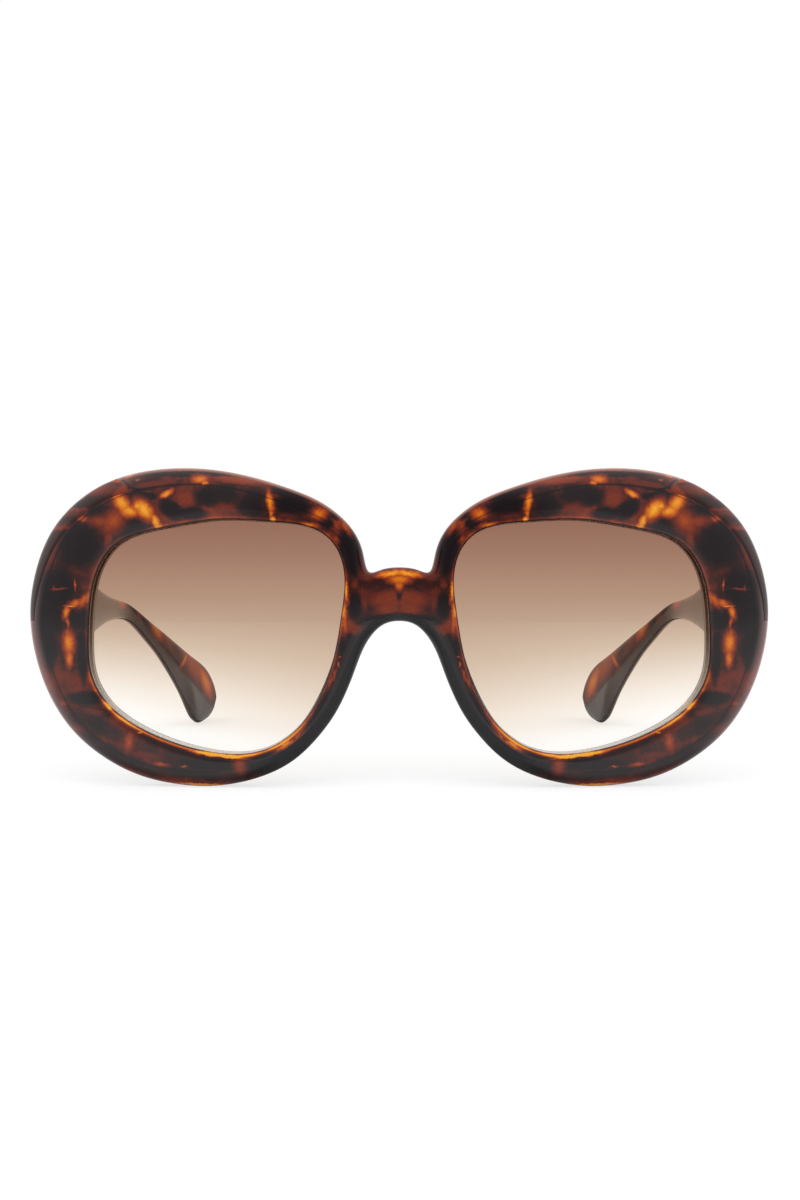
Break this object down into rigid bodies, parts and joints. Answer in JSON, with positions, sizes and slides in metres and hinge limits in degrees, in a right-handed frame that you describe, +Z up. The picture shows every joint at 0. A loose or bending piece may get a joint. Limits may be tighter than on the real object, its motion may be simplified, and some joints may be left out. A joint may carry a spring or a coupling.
{
  "type": "oversized butterfly sunglasses",
  "caption": "Oversized butterfly sunglasses with gradient lenses and broad folding temples whose flared roots wrap the outer corners of the rims.",
  "frame": {"origin": "middle of the bounding box in X and Y, on the surface that the rims and the temple tips stand on", "axes": "-Y is the way the wearer looks, +X is the wearer's left, +Z is up when worn"},
  "size_m": [0.1522, 0.1502, 0.0653],
  "materials": {
    "tortoise": "polished, mottled dark brown and amber",
    "lens": "tinted darker at the top, fading downwards",
    "nickel": "satin nickel silver"
  },
  "bodies": {
    "front": {"front_frame": "tortoise", "lens_left": "lens", "lens_right": "lens", "front_hinge_left": "nickel", "front_hinge_right": "nickel", "pivot_screw_left": "nickel", "pivot_screw_right": "nickel", "front_leaf_screws_left": "nickel", "front_leaf_screws_right": "nickel"},
    "left_temple": {"temple_left": "tortoise", "temple_hinge_left": "nickel", "temple_leaf_screws_left": "nickel"},
    "right_temple": {"temple_right": "tortoise", "temple_hinge_right": "nickel", "temple_leaf_screws_right": "nickel"}
  },
  "joints": [
    {"name": "left_fold", "type": "hinge", "parent": "front", "child": "left_temple", "pos_m": [0.0706, -0.06465, 0.0393], "axis": [0, 0, 1], "range_deg": [0, 82]},
    {"name": "right_fold", "type": "hinge", "parent": "front", "child": "right_temple", "pos_m": [-0.0706, -0.06465, 0.0393], "axis": [0, 0, -1], "range_deg": [0, 77]}
  ]
}
